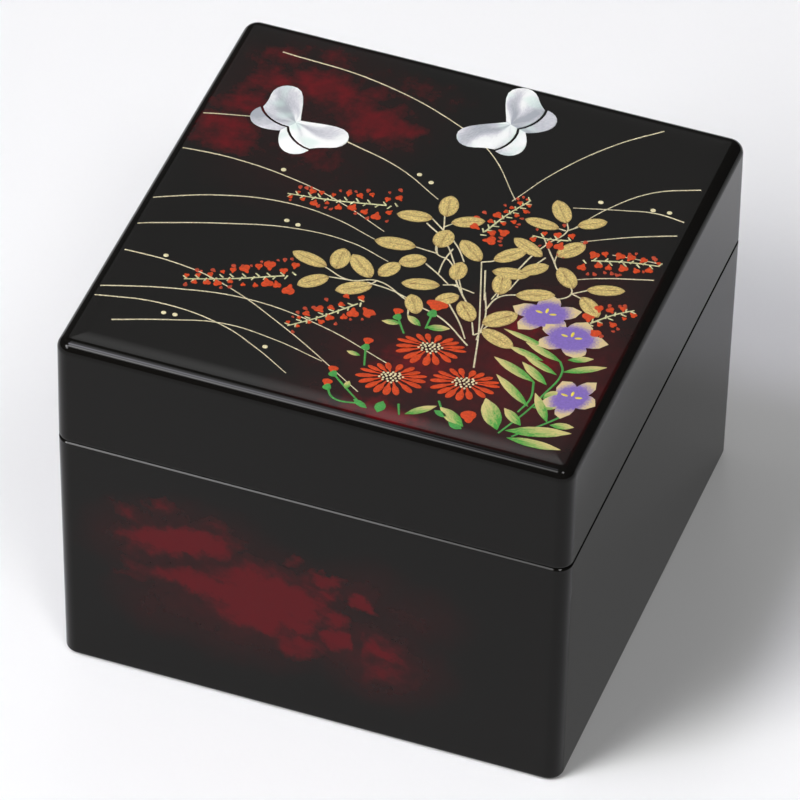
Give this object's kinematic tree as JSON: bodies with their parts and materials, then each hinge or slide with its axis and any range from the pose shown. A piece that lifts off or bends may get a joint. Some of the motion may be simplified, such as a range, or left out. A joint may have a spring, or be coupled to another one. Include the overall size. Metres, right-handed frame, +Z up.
{
  "type": "jewelry box",
  "caption": "Square black lacquer jewelry box with rounded edges, a hinged lid with a mirror, mother-of-pearl butterfly inlays and a velvet-lined case with a lift-out ring tray.",
  "frame": {"origin": "on the table, under the middle of the box's plan", "axes": "+Z up, -Y to the front, +Y to the hinges at the back, +X to the right seen from the front"},
  "size_m": [0.14, 0.1422, 0.1102],
  "materials": {
    "black_lacquer": "polished black lacquer on a moulded body, with dark red clouds and gold and colour decoration on the lid",
    "velvet": "wine-red short-pile velvet",
    "ribbon": "ribbed satin ribbon",
    "felt": "black felt",
    "mirror": "silvered glass with a bevelled edge",
    "brass": "satin brass",
    "mother_of_pearl": "polished mother-of-pearl with pale pink and green lustre"
  },
  "bodies": {
    "case": {"case_shell": "black_lacquer", "base_felt": "felt", "liner_left": "velvet", "liner_right": "velvet", "liner_front": "velvet", "liner_back": "velvet", "floor_pad": "velvet", "hinge_left_case_leaf": "brass", "hinge_left_pin": "brass", "hinge_left_case_screw_1": "brass", "hinge_left_case_screw_2": "brass", "hinge_right_case_leaf": "brass", "hinge_right_pin": "brass", "hinge_right_case_screw_1": "brass", "hinge_right_case_screw_2": "brass"},
    "lid": {"lid_shell": "black_lacquer", "lid_board": "velvet", "mirror_glass": "mirror", "butterfly_left_forewings": "mother_of_pearl", "butterfly_left_hindwings": "mother_of_pearl", "butterfly_right_forewings": "mother_of_pearl", "butterfly_right_hindwings": "mother_of_pearl", "hinge_left_lid_leaf": "brass", "hinge_left_lid_screw_1": "brass", "hinge_left_lid_screw_2": "brass", "hinge_right_lid_leaf": "brass", "hinge_right_lid_screw_1": "brass", "hinge_right_lid_screw_2": "brass"},
    "tray": {"tray_shell": "velvet", "divider_long": "velvet", "divider_short_1": "velvet", "divider_short_2": "velvet", "ring_bar_1": "velvet", "ring_bar_2": "velvet", "ring_bar_3": "velvet", "ring_bar_4": "velvet", "ring_bar_5": "velvet", "tray_pad_1": "velvet", "tray_pad_2": "velvet", "tray_pad_3": "velvet", "tray_tab_left": "ribbon", "tray_tab_right": "ribbon"}
  },
  "joints": [
    {"name": "lid_hinge", "type": "hinge", "parent": "case", "child": "lid", "pos_m": [0, 0.07, 0.07635], "axis": [-1, 0, 0], "range_deg": [0, 97]},
    {"name": "tray_lift", "type": "slide", "parent": "case", "child": "tray", "axis": [0, 0, 1], "range_m": [0, 0.024]}
  ]
}
